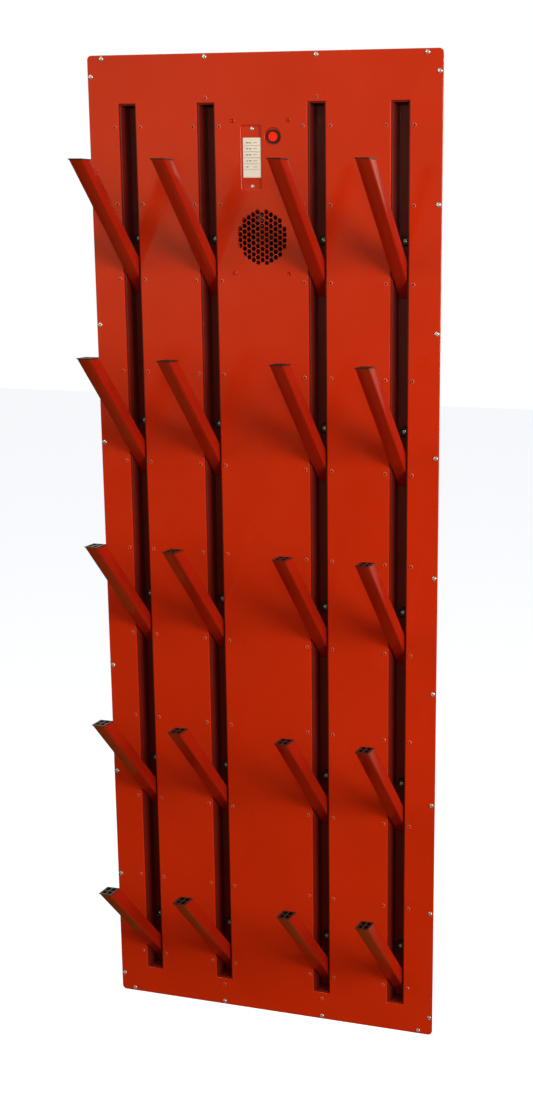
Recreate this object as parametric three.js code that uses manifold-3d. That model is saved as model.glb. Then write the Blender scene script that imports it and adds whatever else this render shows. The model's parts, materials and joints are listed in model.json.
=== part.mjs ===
// Wall-recessed boot dryer: a tall powder-coated front sheet with four slots,
// each backed by a channel that holds five fold-out air pegs. A fan behind a
// hexagon grille warms and pushes air into the box behind the channels.
// Millimetres, +Z up, +Y into the wall. The front sheet's back face is y = 0.

import * as THREE from "three";
import { mergeVertices } from "three/addons/utils/BufferGeometryUtils.js";
import Module from "manifold-3d";

const wasm = await Module();
wasm.setup();

// ---- driving dimensions ---------------------------------------------------
const GAP = 0.3; // clearance left between pieces that touch
const MOUNT_HEIGHT = 12; // origin above the sheet's bottom edge

const PANEL = { width: 660, height: 1800, thickness: 3, corner: 8 };
const SLOT_X = [-255, -103.5, 103.5, 255];
const SLOT = { width: 34, bottom: 56, top: 1718, corner: 1.5 };
const ROWS = 5;
const TOP_PIVOT_Z = 1429;
const ROW_PITCH = 331;

const CHANNEL = { wall: 1.5, inner: 28, floor: 38, end: 2.5, flange: 33, overhang: 20 };
const AIR_HOLE = { width: 18, height: 24, below: 24 };

const TUBE = { side: 25, wall: 1.5, front: 285, lowFront: 43, lowBack: 25.5 };
const PIVOT_Y = 10.5;
const OUT_ANGLE = 46; // degrees from vertical, where the tip lies level
const PIN = { radius: 3, clearance: 0.35, reach: 16, sides: 12 };
const TIP = { plate: 2, rimX: 3.3, rimW: 4.2, crossX: 2.4, crossW: 3, skirt: 8, skirtWall: 1.2 };

// columns counts the hexagons in the middle column and then in each pair beside it
const GRILLE = { z: 1491, flats: 7.8, pitch: 9.7, columns: [9, 10, 9, 8, 7, 4] };
const MODULE = {
  halfWidth: 59, bottom: 1423, top: 1695, thickness: 1.5, corner: 2, fanHole: 47,
};
const TIMER = { x: -17.6, z: 1626, width: 33.3, height: 66.7, proud: 1.2, buttons: 5 };
const TIMER_RECESS = { x: -18.3, width: 38, height: 108, corner: 3 };
const BUTTON = {
  width: 27, height: 9.1, corner: 1, pitch: 10.1, first: 25, depth: 3.2, proud: 0.7, travel: 0.8,
};
const TIMER_STRAP = { width: 32, height: 105, depth: 1.2 };
const TIMER_CASING = { width: 42, height: 64, depth: 34 };
const SWITCH = {
  x: 22.5, z: 1661, recess: 15, bezel: 12, rim: 2.2, body: 9.8, lens: 8.6, depth: 25, well: 12,
};
const ROCKER = {
  proud: 1.6, back: 3, valley: 0.9, tailBack: 10, tailWidth: 5.6, tailHeight: 8.8, tailEnd: 2,
};
const FAN = { side: 92, depth: 25, bore: 44, hub: 18, hubBack: 4, armWidth: 5, armDepth: 3 };
const ROTOR = { blades: 7, inset: 2, hub: 16, tip: 1.5, chord: 17, thickness: 1.6, pitch: 38 };
const HEATER = { width: 92, height: 90, depth: 24, slots: 7, fin: 3, rail: 6, behindFan: 3 };
const BOX = { halfWidth: 300, bottom: 30, top: 1770, back: 66, sheet: 1.5 };
const GLAND = { x: -178, y: 46, thread: 8, head: 12, headHeight: 10, dome: 9.5, bore: 4.5 };
const TERMINAL = { x: -178, z: 1680, width: 64, height: 80, depth: 22, wall: 2, entry: 5 };

const radians = THREE.MathUtils.degToRad;
const tipSlope = Math.tan(radians(OUT_ANGLE));
const tipStretch = 1 / Math.cos(radians(OUT_ANGLE));

// ---- materials ------------------------------------------------------------
const finish = (color, roughness, metalness) =>
  new THREE.MeshStandardMaterial({ color, roughness, metalness });
const redPowder = finish(0xc23014, 0.3, 0.1);
const redTube = finish(0x8a1606, 0.3, 0.1);
const blackPlastic = finish(0x141516, 0.5, 0);
const whitePlastic = finish(0xf2f1ee, 0.35, 0);
const redLens = finish(0xc8281a, 0.15, 0);
const zincSheet = finish(0xb4b8ba, 0.45, 0.8);
const ceramic = finish(0x5a5550, 0.8, 0);
const greyPlastic = finish(0x9a9d9e, 0.6, 0);

// ---- solid helpers --------------------------------------------------------
function solid(geometry) {
  const bare = geometry.index ? geometry : geometry.clone();
  bare.deleteAttribute("normal");
  bare.deleteAttribute("uv");
  const merged = mergeVertices(bare, 1e-4);
  return new wasm.Manifold(
    new wasm.Mesh({
      numProp: 3,
      vertProperties: new Float32Array(merged.attributes.position.array),
      triVerts: new Uint32Array(merged.index.array),
    }),
  );
}

function geometryOf(piece) {
  const mesh = piece.asOriginal().simplify(0.001).getMesh();
  const geometry = new THREE.BufferGeometry();
  geometry.setAttribute("position", new THREE.BufferAttribute(mesh.vertProperties, 3));
  geometry.setIndex(new THREE.BufferAttribute(mesh.triVerts, 1));
  geometry.computeVertexNormals();
  return geometry;
}

const join = (first, ...others) => others.reduce((whole, piece) => whole.add(piece), first);
const cut = (first, ...others) => others.reduce((whole, piece) => whole.subtract(piece), first);

// a box between two corners on each axis
function box([x0, x1], [y0, y1], [z0, z1]) {
  const geometry = new THREE.BoxGeometry(x1 - x0, y1 - y0, z1 - z0);
  geometry.translate((x0 + x1) / 2, (y0 + y1) / 2, (z0 + z1) / 2);
  return solid(geometry);
}

const around = (centre, size) => [centre - size / 2, centre + size / 2];

// a round bar along X, Y or Z, between two positions on that axis
function bar(axis, radius, [from, to], [u, v], sides = 24) {
  const geometry = new THREE.CylinderGeometry(radius, radius, to - from, sides);
  const middle = (from + to) / 2;
  if (axis === "x") {
    geometry.rotateZ(-Math.PI / 2);
    geometry.translate(middle, u, v);
  } else if (axis === "y") {
    geometry.translate(u, middle, v);
  } else {
    geometry.rotateX(Math.PI / 2);
    geometry.translate(u, v, middle);
  }
  return solid(geometry);
}

function roundedRectangle(x, z, width, height, corner, kind = THREE.Shape) {
  const outline = new kind();
  const [left, right] = around(x, width);
  const [low, high] = around(z, height);
  outline.moveTo(left + corner, low);
  outline.lineTo(right - corner, low);
  outline.absarc(right - corner, low + corner, corner, -Math.PI / 2, 0, false);
  outline.lineTo(right, high - corner);
  outline.absarc(right - corner, high - corner, corner, 0, Math.PI / 2, false);
  outline.lineTo(left + corner, high);
  outline.absarc(left + corner, high - corner, corner, Math.PI / 2, Math.PI, false);
  outline.lineTo(left, low + corner);
  outline.absarc(left + corner, low + corner, corner, Math.PI, Math.PI * 1.5, false);
  return outline;
}

function circlePath(x, z, radius, sides) {
  const points = Array.from({ length: sides }, (_, i) => {
    const angle = (2 * Math.PI * i) / sides;
    return new THREE.Vector2(x + radius * Math.cos(angle), z + radius * Math.sin(angle));
  });
  return new THREE.Path(points);
}

// an outline in X and Z made into a sheet whose front face is at y = front
function sheet(shape, front, thickness, curveSegments = 4) {
  const geometry = new THREE.ExtrudeGeometry(shape, {
    depth: thickness,
    bevelEnabled: false,
    curveSegments,
  });
  geometry.rotateX(Math.PI / 2);
  geometry.translate(0, front + thickness, 0);
  return solid(geometry);
}

// a side profile in Y and Z made into a bar between two positions on X
function prism(points, [from, to]) {
  const outline = new THREE.Shape(points.map(([y, z]) => new THREE.Vector2(y, z)));
  const geometry = new THREE.ExtrudeGeometry(outline, { depth: to - from, bevelEnabled: false });
  const [alongX, alongY, alongZ] = [
    new THREE.Vector3(1, 0, 0), new THREE.Vector3(0, 1, 0), new THREE.Vector3(0, 0, 1),
  ];
  geometry.applyMatrix4(new THREE.Matrix4().makeBasis(alongY, alongZ, alongX));
  geometry.translate(from, 0, 0);
  return solid(geometry);
}

const dryer = new THREE.Group();
dryer.position.z = -MOUNT_HEIGHT;

function add(name, piece, material, parent = dryer) {
  const mesh = new THREE.Mesh(geometryOf(piece), material);
  mesh.name = name;
  parent.add(mesh);
  return mesh;
}

// ---- front sheet ----------------------------------------------------------
// Columns of flat-topped hexagons, alternate columns half a pitch lower, kept
// inside the grille's circle.
function hexagonCentres() {
  const step = (GRILLE.pitch * Math.sqrt(3)) / 2;
  const centres = [];
  GRILLE.columns.forEach((count, column) => {
    for (const side of column === 0 ? [1] : [-1, 1]) {
      for (let i = 0; i < count; i += 1) {
        const z = GRILLE.z + (i - (count - 1) / 2) * GRILLE.pitch;
        centres.push([side * column * step, z]);
      }
    }
  });
  return centres;
}

function hexagon(x, z) {
  const radius = GRILLE.flats / Math.sqrt(3);
  const points = Array.from({ length: 6 }, (_, i) => {
    const angle = radians(60 * i);
    const reach = [radius * Math.cos(angle), radius * Math.sin(angle)];
    return new THREE.Vector2(x + reach[0], z + reach[1]);
  });
  return new THREE.Path(points);
}

function frontPanel() {
  const middle = PANEL.height / 2;
  const outline = roundedRectangle(0, middle, PANEL.width, PANEL.height, PANEL.corner);
  const slotHeight = SLOT.top - SLOT.bottom;
  for (const x of SLOT_X) {
    const slot = roundedRectangle(
      x, SLOT.bottom + slotHeight / 2, SLOT.width, slotHeight, SLOT.corner, THREE.Path,
    );
    outline.holes.push(slot);
  }
  const { x, width, height, corner } = TIMER_RECESS;
  outline.holes.push(roundedRectangle(x, TIMER.z, width, height, corner, THREE.Path));
  outline.holes.push(circlePath(SWITCH.x, SWITCH.z, SWITCH.recess, 24));
  for (const [hexX, hexZ] of hexagonCentres()) outline.holes.push(hexagon(hexX, hexZ));
  return sheet(outline, -PANEL.thickness, PANEL.thickness);
}
add("front_panel", frontPanel(), redPowder);

// ---- channels behind the slots --------------------------------------------
const pivotHeights = Array.from({ length: ROWS }, (_, row) => TOP_PIVOT_Z - row * ROW_PITCH);

function channel(x) {
  const half = CHANNEL.inner / 2;
  const [low, high] = [SLOT.bottom + CHANNEL.end, SLOT.top - CHANNEL.end];
  const flange = box(
    [x - CHANNEL.flange, x + CHANNEL.flange],
    [GAP, GAP + CHANNEL.wall],
    [SLOT.bottom - CHANNEL.overhang, SLOT.top + CHANNEL.overhang],
  );
  const outer = box(
    [x - half - CHANNEL.wall, x + half + CHANNEL.wall],
    [GAP, CHANNEL.floor + CHANNEL.wall],
    [low - CHANNEL.wall, high + CHANNEL.wall],
  );
  const inside = box([x - half, x + half], [-1, CHANNEL.floor], [low, high]);
  const openings = pivotHeights.flatMap((z) => {
    const pinHole = PIN.radius + PIN.clearance;
    const side = half + 2 * CHANNEL.wall;
    return [
      bar("x", pinHole, [x - side, x + side], [PIVOT_Y, z], PIN.sides),
      box(
        around(x, AIR_HOLE.width),
        [CHANNEL.floor - 1, CHANNEL.floor + CHANNEL.wall + 1],
        around(z - AIR_HOLE.below, AIR_HOLE.height),
      ),
    ];
  });
  return cut(join(flange, outer), inside, ...openings);
}
SLOT_X.forEach((x, i) => add(`channel_${i + 1}`, channel(x), redPowder));

// ---- fold-out pegs --------------------------------------------------------
// Drawn upright about the pivot, then turned out to the working angle. The tip
// is cut so that it lies level when the peg is out.
const halfSide = TUBE.side / 2;
const tipTop = TUBE.front - halfSide * tipSlope; // tip plane's height on the tube's centre line
const plateLow = tipTop - TIP.plate * tipStretch;
const tubeTop = plateLow - GAP * tipStretch;
const tipAt = (centre, y) => centre - y * tipSlope;

function pegTube() {
  const outer = prism(
    [
      [-halfSide, -TUBE.lowFront],
      [halfSide, -TUBE.lowBack],
      [halfSide, tipAt(tubeTop, halfSide)],
      [-halfSide, tipAt(tubeTop, -halfSide)],
    ],
    [-halfSide, halfSide],
  );
  const bore = TUBE.side - 2 * TUBE.wall;
  const hollow = box(around(0, bore), around(0, bore), [-2 * TUBE.lowFront, 2 * TUBE.front]);
  const pin = bar("x", PIN.radius, [-PIN.reach, PIN.reach], [0, 0], PIN.sides);
  return join(cut(outer, hollow), pin);
}

function tipGrille() {
  const slab = (low, high, half) => [
    [-half, tipAt(low, -half)],
    [half, tipAt(low, half)],
    [half, tipAt(high, half)],
    [-half, tipAt(high, -half)],
  ];
  const skirtHalf = halfSide - TUBE.wall - GAP;
  const skirtLow = plateLow - TIP.skirt * tipStretch;
  const plate = prism(slab(plateLow, tipTop, halfSide), [-halfSide, halfSide]);
  const skirt = prism(slab(skirtLow, plateLow + 1, skirtHalf), [-skirtHalf, skirtHalf]);
  const inner = skirtHalf - TIP.skirtWall;
  const hollow = prism(slab(skirtLow - 1, plateLow, inner), [-inner, inner]);
  // windows follow the tube's direction, one each side of the cross
  const windowX = halfSide - TIP.rimX;
  const windowY = halfSide - TIP.rimW / tipStretch;
  const crossY = TIP.crossW / tipStretch / 2;
  const windows = [-1, 1].flatMap((sideX) =>
    [-1, 1].map((sideY) => {
      const spanX = [sideX * windowX, (sideX * TIP.crossX) / 2].sort((a, b) => a - b);
      const spanY = [sideY * windowY, sideY * crossY].sort((a, b) => a - b);
      return box(spanX, spanY, [0, 2 * TUBE.front]);
    }),
  );
  return cut(join(plate, cut(skirt, hollow)), ...windows);
}

const tubeShape = pegTube();
const grilleShape = tipGrille();
pivotHeights.forEach((z, row) => {
  SLOT_X.forEach((x, column) => {
    const peg = new THREE.Group();
    peg.position.set(x, PIVOT_Y, z);
    peg.rotation.x = radians(OUT_ANGLE);
    dryer.add(peg);
    const label = `r${row + 1}_c${column + 1}`;
    add(`peg_tube_${label}`, tubeShape, redTube, peg);
    add(`tip_grille_${label}`, grilleShape, blackPlastic, peg);
  });
});

// ---- control module behind the upper middle -------------------------------
const moduleFront = GAP;
const behindModule = moduleFront + MODULE.thickness + GAP;

function controlPlate() {
  const height = MODULE.top - MODULE.bottom;
  const outline = roundedRectangle(
    0, MODULE.bottom + height / 2, 2 * MODULE.halfWidth, height, MODULE.corner,
  );
  outline.holes.push(circlePath(0, GRILLE.z, MODULE.fanHole, 32));
  outline.holes.push(circlePath(SWITCH.x, SWITCH.z, SWITCH.body + GAP, 24));
  const opening = roundedRectangle(
    TIMER.x, TIMER.z, TIMER.width + 2 * GAP, TIMER.height + 2 * GAP, 0.5, THREE.Path,
  );
  outline.holes.push(opening);
  return sheet(outline, moduleFront, MODULE.thickness);
}
add("control_plate", controlPlate(), redPowder);

// timer: a face with a pocket for each button, a strap and a body behind
const timerFront = -TIMER.proud;
const buttonHeights = Array.from(
  { length: TIMER.buttons },
  (_, i) => TIMER.z + BUTTON.first - i * BUTTON.pitch,
);

function timerBody() {
  const pocketDepth = BUTTON.depth + BUTTON.travel;
  const strapBack = behindModule + TIMER_STRAP.depth;
  const face = box(
    around(TIMER.x, TIMER.width), [timerFront, strapBack], around(TIMER.z, TIMER.height),
  );
  const strap = box(
    around(TIMER.x, TIMER_STRAP.width), [behindModule, strapBack],
    around(TIMER.z, TIMER_STRAP.height),
  );
  const casing = box(
    around(TIMER.x, TIMER_CASING.width), [behindModule, behindModule + TIMER_CASING.depth],
    around(TIMER.z, TIMER_CASING.height),
  );
  const pockets = buttonHeights.map((z) =>
    box(
      around(TIMER.x, BUTTON.width + 2 * GAP),
      [timerFront - 1, timerFront + pocketDepth],
      around(z, BUTTON.height + 2 * GAP),
    ),
  );
  return cut(join(face, strap, casing), ...pockets);
}
add("timer_body", timerBody(), whitePlastic);

buttonHeights.forEach((z, i) => {
  const outline = roundedRectangle(TIMER.x, z, BUTTON.width, BUTTON.height, BUTTON.corner);
  const button = sheet(outline, timerFront - BUTTON.proud, BUTTON.depth);
  add(`timer_button_${i + 1}`, button, whitePlastic);
});

// rocker switch: a round bezel with a round well, and a rocker on its pin line
const bezelFront = moduleFront - GAP - SWITCH.rim;
const rockerFront = bezelFront - ROCKER.proud;

function switchBezel() {
  const rim = bar("y", SWITCH.bezel, [bezelFront, moduleFront - GAP], [SWITCH.x, SWITCH.z]);
  const barrel = bar(
    "y", SWITCH.body, [bezelFront + 1, moduleFront + SWITCH.depth], [SWITCH.x, SWITCH.z],
  );
  const well = bar(
    "y", SWITCH.lens + GAP, [bezelFront - 1, SWITCH.well], [SWITCH.x, SWITCH.z],
  );
  return cut(join(rim, barrel), well);
}
add("switch_bezel", switchBezel(), blackPlastic);

// the rocker is a round disc with a shallow V across its face and a tail behind
function switchRocker() {
  const reach = SWITCH.lens + 2;
  const across = around(SWITCH.x, 2 * reach);
  const disc = bar("y", SWITCH.lens - 0.5, [rockerFront, ROCKER.back], [SWITCH.x, SWITCH.z]);
  const tail = prism(
    [
      [bezelFront + 3, SWITCH.z - ROCKER.tailHeight / 2],
      [ROCKER.tailBack, SWITCH.z - ROCKER.tailEnd / 2],
      [ROCKER.tailBack, SWITCH.z + ROCKER.tailEnd / 2],
      [bezelFront + 3, SWITCH.z + ROCKER.tailHeight / 2],
    ],
    around(SWITCH.x, ROCKER.tailWidth),
  );
  const cuts = [-1, 1].flatMap((side) => {
    const at = (z) => SWITCH.z + side * z;
    const valley = [
      [rockerFront - 1, at(0)],
      [rockerFront + ROCKER.valley, at(0)],
      [rockerFront, at(reach)],
      [rockerFront - 1, at(reach)],
    ];
    const taper = [
      [bezelFront + 1, at(reach)],
      [bezelFront + 1, at(SWITCH.lens - 1)],
      [ROCKER.back + 1, at(SWITCH.lens - 3.4)],
      [ROCKER.back + 1, at(reach)],
    ];
    return [prism(valley, across), prism(taper, across)];
  });
  return cut(join(disc, tail), ...cuts);
}
add("switch_rocker", switchRocker(), redLens);

// fan: a square frame with a bore and a rear spider, and a bladed rotor
const fanFront = behindModule + GAP;

function fanFrame() {
  const back = fanFront + FAN.depth;
  const frame = box(around(0, FAN.side), [fanFront, back], around(GRILLE.z, FAN.side));
  const bore = bar("y", FAN.bore, [fanFront - 1, back + 1], [0, GRILLE.z], 32);
  const hub = bar("y", FAN.hub, [back - FAN.hubBack, back], [0, GRILLE.z], 20);
  const arms = [45, 135].map((angle) => {
    const geometry = new THREE.BoxGeometry(2 * FAN.bore + 4, FAN.armDepth, FAN.armWidth);
    geometry.rotateY(radians(angle));
    geometry.translate(0, back - FAN.armDepth / 2, GRILLE.z);
    return solid(geometry);
  });
  return join(cut(frame, bore), hub, ...arms);
}
add("fan_frame", fanFrame(), blackPlastic);

function fanRotor() {
  const front = fanFront + ROTOR.inset;
  const hub = bar("y", FAN.hub, [front, front + ROTOR.hub], [0, GRILLE.z], 20);
  const root = FAN.hub - 3; // inside the hub, so that blade and hub join
  const length = FAN.bore - ROTOR.tip - root;
  const blades = Array.from({ length: ROTOR.blades }, (_, i) => {
    const geometry = new THREE.BoxGeometry(length, ROTOR.thickness, ROTOR.chord);
    geometry.translate(root + length / 2, 0, 0);
    geometry.rotateX(radians(ROTOR.pitch));
    geometry.rotateY((2 * Math.PI * i) / ROTOR.blades);
    geometry.translate(0, front + ROTOR.hub / 2, GRILLE.z);
    return solid(geometry);
  });
  return join(hub, ...blades);
}
add("fan_rotor", fanRotor(), blackPlastic);

// heater: a finned ceramic block behind the fan, open from front to back
function heaterCore() {
  const front = fanFront + FAN.depth + HEATER.behindFan;
  const block = box(
    around(0, HEATER.width), [front, front + HEATER.depth], around(GRILLE.z, HEATER.height),
  );
  const pitch = HEATER.width / HEATER.slots;
  const slots = Array.from({ length: HEATER.slots }, (_, i) => {
    const x = (i - (HEATER.slots - 1) / 2) * pitch;
    return box(
      around(x, pitch - HEATER.fin), [front - 1, front + HEATER.depth + 1],
      around(GRILLE.z, HEATER.height - 2 * HEATER.rail),
    );
  });
  return cut(block, ...slots);
}
add("heater_core", heaterCore(), ceramic);

// ---- rear air box and its wiring ------------------------------------------
function rearBox() {
  const { halfWidth, bottom, top, back, sheet: wall } = BOX;
  const outer = box([-halfWidth, halfWidth], [GAP, back], [bottom, top]);
  const inner = box(
    [-halfWidth + wall, halfWidth - wall], [-1, back - wall], [bottom + wall, top - wall],
  );
  const glandHole = bar(
    "z", GLAND.thread + GAP, [top - 3 * wall, top + wall], [GLAND.x, GLAND.y], 16,
  );
  return cut(outer, inner, glandHole);
}
add("rear_box", rearBox(), zincSheet);

function cableGland() {
  const centre = [GLAND.x, GLAND.y];
  const wallLow = BOX.top - BOX.sheet;
  const headTop = BOX.top + GLAND.headHeight;
  const thread = bar("z", GLAND.thread, [wallLow - 8, headTop], centre, 16);
  const head = bar("z", GLAND.head, [BOX.top + GAP, headTop], centre, 6);
  const dome = bar("z", GLAND.dome, [headTop - 1, headTop + 7], centre, 16);
  const nut = bar("z", GLAND.head, [wallLow - 5, wallLow - GAP], centre, 6);
  const bore = bar("z", GLAND.bore, [wallLow - 10, headTop + 10], centre, 12);
  return cut(join(thread, head, dome, nut), bore);
}
add("cable_gland", cableGland(), blackPlastic);

function terminalBox() {
  const back = BOX.back - BOX.sheet - GAP;
  const { wall } = TERMINAL;
  const outer = box(
    around(TERMINAL.x, TERMINAL.width), [back - TERMINAL.depth, back],
    around(TERMINAL.z, TERMINAL.height),
  );
  const inner = box(
    around(TERMINAL.x, TERMINAL.width - 2 * wall), [back - TERMINAL.depth + wall, back - wall],
    around(TERMINAL.z, TERMINAL.height - 2 * wall),
  );
  const entry = bar(
    "z", TERMINAL.entry, [TERMINAL.z, TERMINAL.z + TERMINAL.height],
    [TERMINAL.x, back - TERMINAL.depth / 2], 12,
  );
  return cut(outer, inner, entry);
}
add("terminal_box", terminalBox(), greyPlastic);

export default dryer;
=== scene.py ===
"""Surfaces, finishes, light and camera for a wall-recessed boot dryer.

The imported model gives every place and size. Each operator below makes one piece or one group of
like pieces, in metres, in the model's own frame: +X right, +Y into the wall, +Z up.
"""

import json
import math

import bmesh
import bpy
import numpy as np
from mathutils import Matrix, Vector
from mathutils.geometry import delaunay_2d_cdt


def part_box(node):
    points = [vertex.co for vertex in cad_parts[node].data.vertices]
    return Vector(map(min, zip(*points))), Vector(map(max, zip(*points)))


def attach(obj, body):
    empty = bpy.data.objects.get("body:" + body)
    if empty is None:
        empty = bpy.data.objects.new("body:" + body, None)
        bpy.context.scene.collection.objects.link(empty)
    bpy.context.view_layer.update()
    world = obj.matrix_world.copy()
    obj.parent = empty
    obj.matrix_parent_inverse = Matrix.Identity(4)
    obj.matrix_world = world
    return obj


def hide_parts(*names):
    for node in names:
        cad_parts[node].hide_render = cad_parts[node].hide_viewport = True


bl_info = {
    "name": "Boot dryer",
    "version": (1, 0, 0),
    "blender": (4, 5, 0),
    "location": "3D View > Sidebar > Boot Dryer",
    "description": "Powder-coated boot dryer with fold-out air pegs",
    "category": "Object",
}

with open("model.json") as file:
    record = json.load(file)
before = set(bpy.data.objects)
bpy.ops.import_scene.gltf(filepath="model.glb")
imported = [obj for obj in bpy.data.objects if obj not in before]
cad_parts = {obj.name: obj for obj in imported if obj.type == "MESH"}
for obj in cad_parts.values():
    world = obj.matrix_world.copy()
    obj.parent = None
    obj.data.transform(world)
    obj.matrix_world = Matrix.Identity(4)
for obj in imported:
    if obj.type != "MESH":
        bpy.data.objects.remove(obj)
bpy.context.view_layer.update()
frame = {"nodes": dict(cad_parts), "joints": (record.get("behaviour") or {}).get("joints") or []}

MM = 0.001
HOUSING = "housing"
sheet_low, sheet_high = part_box("front_panel")
PEGS = [joint for joint in frame["joints"] if joint["name"].startswith("peg_fold_")]
PEG_OUT = math.radians(PEGS[0]["range_deg"][1])
SLOT_X = sorted({joint["pos_m"][0] for joint in PEGS})
PIVOT_Z = sorted({joint["pos_m"][2] for joint in PEGS}, reverse=True)
SHORTEST = 1e-12  # keeps a step of no length from dividing by zero
WELD = 1e-7  # points of an outline closer than this are one point, in metres


# ---- settings ---------------------------------------------------------------------------------
class DryerFinishSettings(bpy.types.PropertyGroup):
    """Colours and surface quality of the dryer's finishes"""

    panel_red: bpy.props.StringProperty(
        name="Sheet red", description="Powder coat colour of the sheets", default="#CE2C03")
    # Darker than the sheet red, though the tubes wear the same coat: painted shade on the tubes.
    peg_shade_red: bpy.props.StringProperty(
        name="Peg red", description="Powder coat colour of the tubes", default="#A81C03")
    # Much darker than the sheet red: this colour is painted shade down in the channels.
    channel_shade_red: bpy.props.StringProperty(
        name="Channel red", description="Thin coat colour down in the channels",
        default="#6E1002")
    # Lighter and pinker than the sheet red: a painted highlight on the coated screw heads.
    screw_red: bpy.props.StringProperty(
        name="Screw red", description="Colour of the coated screw heads", default="#DC5236")
    orange_peel: bpy.props.FloatProperty(
        name="Orange peel", description="Width of the coat's ripples", default=4 * MM,
        unit="LENGTH")
    coat_roughness: bpy.props.FloatProperty(
        name="Coat roughness", description="Roughness of the cured coat", default=0.16,
        min=0.0, max=1.0, subtype="FACTOR")


class DryerShapeSettings(bpy.types.PropertyGroup):
    """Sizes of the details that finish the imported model"""

    edge_round: bpy.props.FloatProperty(
        name="Sheet edge", description="Radius of the coated sheet edges", default=0.7 * MM,
        unit="LENGTH")
    tube_corner: bpy.props.FloatProperty(
        name="Tube corner", description="Outer corner radius of the square tube",
        default=2.6 * MM, unit="LENGTH")
    tube_wall: bpy.props.FloatProperty(
        name="Tube wall", description="Wall of the square tube", default=1.5 * MM, unit="LENGTH")
    bumper_radius: bpy.props.FloatProperty(
        name="Bumper radius", description="Radius of a rubber bumper", default=9 * MM,
        unit="LENGTH")
    bumper_height: bpy.props.FloatProperty(
        name="Bumper height", description="Height of a rubber bumper off the channel floor",
        default=13.5 * MM, unit="LENGTH")


class DryerStageSettings(bpy.types.PropertyGroup):
    """Floor, light and camera"""

    floor_drop: bpy.props.FloatProperty(
        name="Floor drop", description="Floor below the dryer", default=0.3, unit="LENGTH")
    floor_white: bpy.props.StringProperty(
        name="Floor colour", description="Pale floor", default="#EDF2FA")
    key_power: bpy.props.FloatProperty(
        name="Key light", description="Power of the light at the upper right", default=150.0,
        unit="POWER")
    fill_power: bpy.props.FloatProperty(
        name="Fill light", description="Power of the light at the upper left", default=20.0,
        unit="POWER")
    flash_power: bpy.props.FloatProperty(
        name="Flash", description="Power of the small light beside the camera", default=10.0,
        unit="POWER")
    room_level: bpy.props.FloatProperty(
        name="Room", description="Brightness of the room in front of the dryer", default=0.85,
        min=0.0)
    room_back: bpy.props.FloatProperty(
        name="Room behind", description="Brightness of the room behind the dryer", default=0.45,
        min=0.0)
    lens: bpy.props.FloatProperty(
        name="Lens", description="Focal length", default=55.15, unit="CAMERA")


# ---- small tools ------------------------------------------------------------------------------
def linear(code):
    """A #RRGGBB colour in sRGB, turned to linear red, green, blue and alpha."""
    parts = np.array([int(code[i:i + 2], 16) for i in (1, 3, 5)]) / 255
    curve = np.where(parts <= 0.04045, parts / 12.92, ((parts + 0.055) / 1.055) ** 2.4)
    return (*curve.tolist(), 1.0)


def put_mesh(name, vertices, faces, material, body=HOUSING, sharp=None):
    """A mesh object from arrays, riding on a body; sharp is the angle past which edges stay."""
    mesh = bpy.data.meshes.new(name)
    mesh.from_pydata(np.asarray(vertices).tolist(), [], [list(face) for face in faces])
    mesh.validate()
    mesh.materials.append(material)
    piece = bpy.data.objects.new(name, mesh)
    bpy.context.scene.collection.objects.link(piece)
    mesh.shade_smooth()
    if sharp:
        mesh.set_sharp_from_angle(angle=math.radians(sharp))
    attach(piece, body)
    return piece


def box_middle(name):
    """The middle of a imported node's box."""
    low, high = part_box(name)
    return (low + high) / 2


def grid_faces(rows, columns, wrap_rows=False, wrap_columns=True):
    """Quads of a rows x columns grid of vertices, numbered row by row."""
    r = np.arange(rows if wrap_rows else rows - 1)[:, None]
    c = np.arange(columns if wrap_columns else columns - 1)[None, :]
    r_next, c_next = (r + 1) % rows, (c + 1) % columns
    corners = [r * columns + c, r * columns + c_next, r_next * columns + c_next,
               r_next * columns + c]
    return np.stack([np.broadcast_to(k, (r.size, c.size)) for k in corners], -1).reshape(-1, 4)


def turned(radii, heights, sides=32):
    """A turned form about +Z: ring i has radius radii[i] and heights[i], which may be one number
    or one for each side; the first and last rings close to a point each."""
    angle = np.arange(sides) * 2 * math.pi / sides
    radii = np.asarray(radii, float)[:, None]
    rise = np.stack([np.broadcast_to(h, sides) for h in heights]).astype(float)
    rings = np.stack([radii * np.cos(angle), radii * np.sin(angle), rise], -1)
    body = grid_faces(len(radii), sides)
    count = rings.shape[0] * sides
    poles = np.array([[0, 0, rise[0].mean()], [0, 0, rise[-1].mean()]])
    side = np.arange(sides)
    after = (side + 1) % sides
    first = np.stack([np.full(sides, count), after, side], -1)
    last_row = count - sides
    last = np.stack([np.full(sides, count + 1), last_row + side, last_row + after], -1)
    vertices = np.concatenate([rings.reshape(-1, 3), poles])
    return vertices, [*body.tolist(), *first.tolist(), *last.tolist()]


def facing_out(vertices):
    """A form about +Z laid down so that its top faces -Y, out of the wall."""
    x, y, z = np.asarray(vertices).T
    return np.stack([x, -z, y], -1)


def copies(vertices, faces, places):
    """The same form once at each place, as one vertex list and one face list."""
    places = np.asarray(places, float)
    spread = (vertices[None] + places[:, None]).reshape(-1, 3)
    step = len(vertices)
    return spread, [[i + step * k for i in face] for k in range(len(places)) for face in faces]


def add_node(tree, kind, links=None, **settings):
    """Adds one node. settings fill its properties, or its sockets by name with _ for a space;
    links maps a socket's name or number to the output that feeds it."""
    node = tree.nodes.new(kind)
    for key, value in settings.items():
        if hasattr(node, key):
            setattr(node, key, value)
        else:
            node.inputs[key.replace("_", " ")].default_value = value
    for socket, output in (links or {}).items():
        tree.links.new(output, node.inputs[socket])
    return node


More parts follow.
